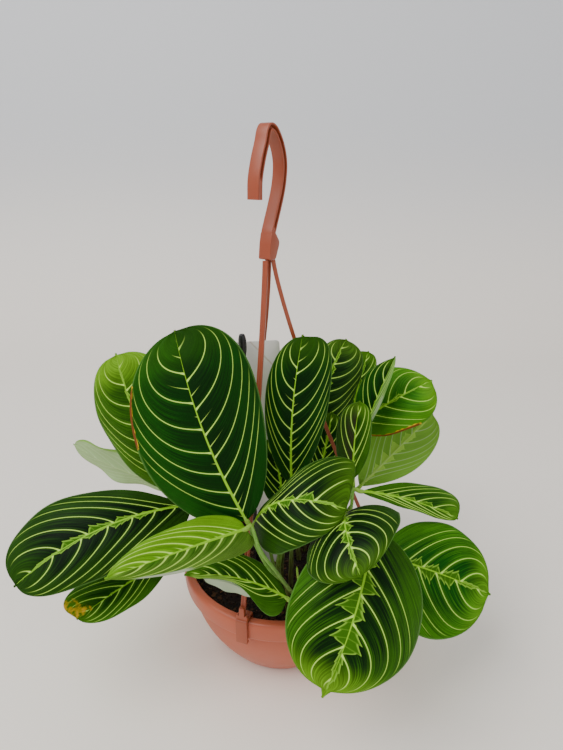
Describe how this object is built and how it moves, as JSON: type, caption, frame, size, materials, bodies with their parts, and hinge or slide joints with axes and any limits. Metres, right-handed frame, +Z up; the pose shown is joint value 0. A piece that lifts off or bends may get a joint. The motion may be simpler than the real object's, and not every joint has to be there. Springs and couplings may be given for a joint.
{
  "type": "potted prayer plant",
  "caption": "Potted maranta with broad herringbone-patterned leaves on thin stalks, in a bowl-shaped terracotta-coloured plastic hanging pot with a clip-on hanger and a blank plant label.",
  "frame": {"origin": "centre of the pot's flat base, on the surface the pot stands on", "axes": "+Z up along the pot's axis towards the hanger's hook, -Y towards the plant's fuller side, +X to the right as seen from that side"},
  "size_m": [0.2791, 0.2382, 0.3302],
  "materials": {
    "terracotta_plastic": "satin",
    "potting_soil": "matte",
    "leaf_blade": "satin",
    "leaf_stalk": "satin",
    "label_card": "satin",
    "stake_plastic": "satin"
  },
  "bodies": {
    "root": {"pot": "terracotta_plastic", "potting_soil": "potting_soil", "hanger_hook": "terracotta_plastic", "hanger_arm_front": "terracotta_plastic", "hanger_arm_right": "terracotta_plastic", "hanger_arm_back": "terracotta_plastic", "label_card": "label_card", "label_stake": "stake_plastic", "young_shoot_1": "leaf_stalk", "young_shoot_2": "leaf_stalk", "leaf_01_blade": "leaf_blade", "leaf_01_stalk": "leaf_stalk", "leaf_02_blade": "leaf_blade", "leaf_02_stalk": "leaf_stalk", "leaf_03_blade": "leaf_blade", "leaf_03_stalk": "leaf_stalk", "leaf_04_blade": "leaf_blade", "leaf_04_stalk": "leaf_stalk", "leaf_05_blade": "leaf_blade", "leaf_05_stalk": "leaf_stalk", "leaf_06_blade": "leaf_blade", "leaf_06_stalk": "leaf_stalk", "leaf_07_blade": "leaf_blade", "leaf_07_stalk": "leaf_stalk", "leaf_08_blade": "leaf_blade", "leaf_08_stalk": "leaf_stalk", "leaf_09_blade": "leaf_blade", "leaf_09_stalk": "leaf_stalk", "leaf_10_blade": "leaf_blade", "leaf_10_stalk": "leaf_stalk", "leaf_11_blade": "leaf_blade", "leaf_11_stalk": "leaf_stalk", "leaf_12_blade": "leaf_blade", "leaf_12_stalk": "leaf_stalk", "leaf_13_blade": "leaf_blade", "leaf_13_stalk": "leaf_stalk", "leaf_14_blade": "leaf_blade", "leaf_14_stalk": "leaf_stalk", "leaf_15_blade": "leaf_blade", "leaf_15_stalk": "leaf_stalk", "leaf_16_blade": "leaf_blade", "leaf_16_stalk": "leaf_stalk", "leaf_17_blade": "leaf_blade", "leaf_17_stalk": "leaf_stalk", "leaf_18_blade": "leaf_blade", "leaf_18_stalk": "leaf_stalk", "leaf_19_blade": "leaf_blade", "leaf_19_stalk": "leaf_stalk", "leaf_20_blade": "leaf_blade", "leaf_20_stalk": "leaf_stalk", "leaf_21_blade": "leaf_blade", "leaf_21_stalk": "leaf_stalk", "leaf_22_blade": "leaf_blade", "leaf_22_stalk": "leaf_stalk", "leaf_23_blade": "leaf_blade", "leaf_23_stalk": "leaf_stalk", "leaf_24_blade": "leaf_blade", "leaf_24_stalk": "leaf_stalk", "leaf_25_blade": "leaf_blade", "leaf_25_stalk": "leaf_stalk"}
  },
  "joints": []
}
